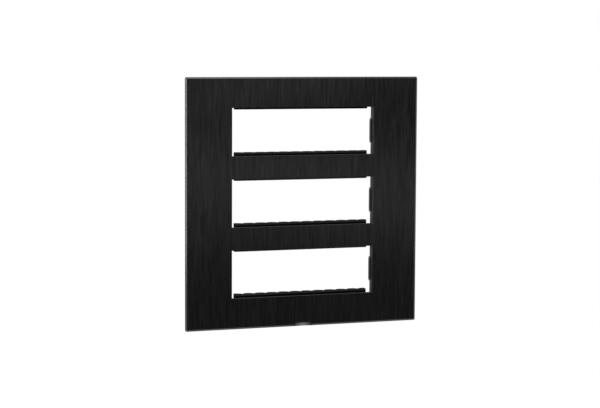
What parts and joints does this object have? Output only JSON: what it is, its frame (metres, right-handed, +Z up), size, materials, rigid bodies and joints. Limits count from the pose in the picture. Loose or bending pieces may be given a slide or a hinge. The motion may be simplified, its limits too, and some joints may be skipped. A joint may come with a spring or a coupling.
{
  "type": "wall plate cover",
  "caption": "Black brushed wall plate with wide module windows: a metal face on a moulded cover, held by clips on a support frame with lobed module rails.",
  "frame": {"origin": "Centre of the four wall screw slots, on the wall plane behind the middle row", "axes": "+X to the right as seen from the front, +Y into the wall, +Z up; the face looks along -Y"},
  "size_m": [0.2234, 0.0103, 0.2268],
  "materials": {
    "anodised_face": "black anodised, brushed from top to bottom",
    "adhesive_film": "translucent acrylic adhesive film",
    "cover_plastic": "moulded polycarbonate, fine spark texture",
    "frame_plastic": "moulded polycarbonate, matt",
    "rail_plastic": "moulded polyamide, black",
    "clip_plastic": "moulded acetal, satin"
  },
  "bodies": {
    "support": {"support_frame": "frame_plastic", "top_row_upper_rail": "rail_plastic", "top_row_lower_rail": "rail_plastic", "middle_row_upper_rail": "rail_plastic", "middle_row_lower_rail": "rail_plastic", "bottom_row_upper_rail": "rail_plastic", "bottom_row_lower_rail": "rail_plastic", "top_row_left_clip": "clip_plastic", "top_row_right_clip": "clip_plastic", "middle_row_left_clip": "clip_plastic", "middle_row_right_clip": "clip_plastic", "bottom_row_left_clip": "clip_plastic", "bottom_row_right_clip": "clip_plastic"},
    "cover": {"face_plate": "anodised_face", "bonding_film": "adhesive_film", "cover_frame": "cover_plastic"}
  },
  "joints": [
    {"name": "cover_pull", "type": "slide", "parent": "support", "child": "cover", "axis": [0, -1, 0], "range_m": [0, 0.03], "deforming": ["top_row_left_clip", "top_row_right_clip", "middle_row_left_clip", "middle_row_right_clip", "bottom_row_left_clip", "bottom_row_right_clip"]}
  ]
}
